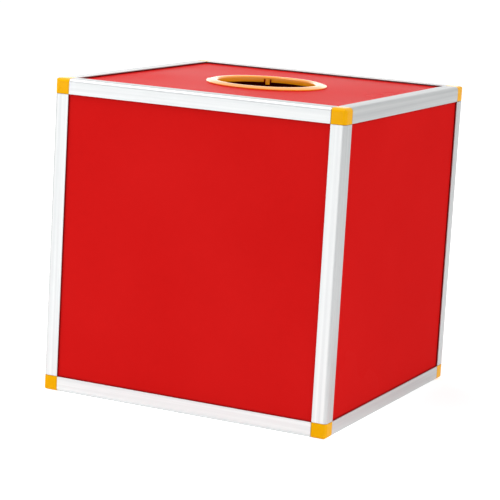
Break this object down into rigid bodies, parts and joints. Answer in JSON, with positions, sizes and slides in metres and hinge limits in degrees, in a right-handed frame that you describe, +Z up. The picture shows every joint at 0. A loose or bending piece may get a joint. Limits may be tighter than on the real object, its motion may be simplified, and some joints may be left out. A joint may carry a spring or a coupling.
{
  "type": "suggestion box",
  "caption": "Cube-shaped suggestion box of aluminium edge rails, plastic corner blocks and red panels, with a ringed hand hole in the top and a lockable hinged door in the back.",
  "frame": {"origin": "middle of the base, on the surface that the box stands on", "axes": "+Z up, +X to the right seen from the front, +Y from the front to the back"},
  "size_m": [0.296, 0.2982, 0.3007],
  "materials": {
    "rails": "satin anodised, bare metal colour",
    "corners": "moulded, smooth, yellow-orange",
    "panels": "satin sheet, red",
    "ring": "moulded, glossy, yellow-orange",
    "hinges": "plated",
    "rivets": "bare",
    "lock": "bright plated",
    "lock_fittings": "plated"
  },
  "bodies": {
    "box": {"rail_front_left": "rails", "rail_front_right": "rails", "rail_back_left": "rails", "rail_back_right": "rails", "rail_bottom_front": "rails", "rail_bottom_back": "rails", "rail_bottom_left": "rails", "rail_bottom_right": "rails", "rail_top_front": "rails", "rail_top_back": "rails", "rail_top_left": "rails", "rail_top_right": "rails", "corner_bottom_front_left": "corners", "corner_bottom_front_right": "corners", "corner_bottom_back_left": "corners", "corner_bottom_back_right": "corners", "corner_top_front_left": "corners", "corner_top_front_right": "corners", "corner_top_back_left": "corners", "corner_top_back_right": "corners", "panel_front": "panels", "panel_back": "panels", "panel_left": "panels", "panel_right": "panels", "panel_top": "panels", "panel_bottom": "panels", "hand_hole_ring": "ring", "door_stop": "panels", "hinge_lower_frame_leaf": "hinges", "hinge_lower_pin": "hinges", "hinge_upper_frame_leaf": "hinges", "hinge_upper_pin": "hinges", "rivet_frame_1": "rivets", "rivet_frame_2": "rivets", "rivet_frame_3": "rivets", "rivet_frame_4": "rivets"},
    "door": {"back_door": "panels", "hinge_lower_door_leaf": "hinges", "hinge_upper_door_leaf": "hinges", "rivet_door_1": "rivets", "rivet_door_2": "rivets", "rivet_door_3": "rivets", "rivet_door_4": "rivets", "lock_barrel": "lock", "lock_nut": "lock_fittings"},
    "lock": {"lock_plug": "lock", "lock_cam": "lock_fittings", "lock_cam_screw": "lock_fittings"}
  },
  "joints": [
    {"name": "door_hinge", "type": "hinge", "parent": "box", "child": "door", "pos_m": [0.089, 0.1482, 0.1275], "axis": [0, 0, -1], "range_deg": [0, 170]},
    {"name": "lock_turn", "type": "hinge", "parent": "door", "child": "lock", "pos_m": [-0.0705, 0.1461, 0.1275], "axis": [0, 1, 0], "range_deg": [0, 90]}
  ]
}
